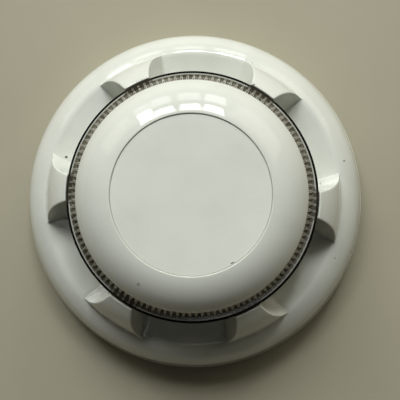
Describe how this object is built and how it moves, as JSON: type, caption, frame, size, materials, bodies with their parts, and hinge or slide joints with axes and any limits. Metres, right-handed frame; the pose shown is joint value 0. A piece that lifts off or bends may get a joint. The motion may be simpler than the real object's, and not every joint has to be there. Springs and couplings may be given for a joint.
{
  "type": "photoelectric smoke detector",
  "caption": "Round white point smoke detector: convex rim, open smoke inlets between buttresses, clear ribbed lamp ring and domed cap, on a bayonet mounting base.",
  "frame": {"origin": "centre of the mounting base's back face", "axes": "+Z from the ceiling face to the dome, +X through the middle of a buttress"},
  "size_m": [0.11, 0.11, 0.046],
  "materials": {
    "white_plastic": "glossy moulded",
    "base_plastic": "satin moulded",
    "disc_plastic": "glossy flat disc",
    "clear_plastic": "clear ribbed",
    "black_plastic": "matt black moulded",
    "screen_metal": "fine mesh",
    "board_green": "solder mask",
    "chip_black": "matt epoxy",
    "can_metal": "bright can",
    "reed_glass": "clear tube",
    "lamp_lens": "clear epoxy",
    "ribbon_grey": "flat ribbon",
    "screw_steel": "zinc plated",
    "contact_brass": "tinned brass"
  },
  "bodies": {
    "base": {"mounting_base": "base_plastic", "terminal_screws": "screw_steel", "contact_spring_1": "contact_brass", "contact_spring_2": "contact_brass", "contact_spring_3": "contact_brass", "contact_spring_4": "contact_brass", "clamp_plate_1": "screw_steel", "clamp_plate_2": "screw_steel", "clamp_plate_3": "screw_steel", "clamp_plate_4": "screw_steel"},
    "head": {"outer_housing": "white_plastic", "dome_cap": "white_plastic", "centre_disc": "disc_plastic", "light_ring": "clear_plastic", "chamber_cover": "black_plastic", "chamber_base": "black_plastic", "labyrinth": "black_plastic", "chamber_lid": "black_plastic", "rear_plate": "base_plastic", "insect_screen": "screen_metal", "circuit_board": "board_green", "lamp_board": "board_green", "microcontroller": "chip_black", "electrolytic_capacitor": "can_metal", "reed_switch": "reed_glass", "suppressor_coil": "chip_black", "infrared_emitter": "lamp_lens", "photodiode": "chip_black", "receiver_lens": "lamp_lens", "lamp_ribbon": "ribbon_grey", "rear_screws": "screw_steel", "cover_screws": "screw_steel", "dome_screws": "screw_steel", "contact_blade_1": "contact_brass", "contact_blade_2": "contact_brass", "contact_blade_3": "contact_brass", "contact_blade_4": "contact_brass", "indicator_lamp_1": "lamp_lens", "indicator_lamp_2": "lamp_lens", "indicator_lamp_3": "lamp_lens"}
  },
  "joints": [
    {"name": "head_twist", "type": "hinge", "parent": "base", "child": "head", "pos_m": [0, 0, 0.0072], "axis": [0, 0, 1], "range_deg": [0, 20]}
  ]
}
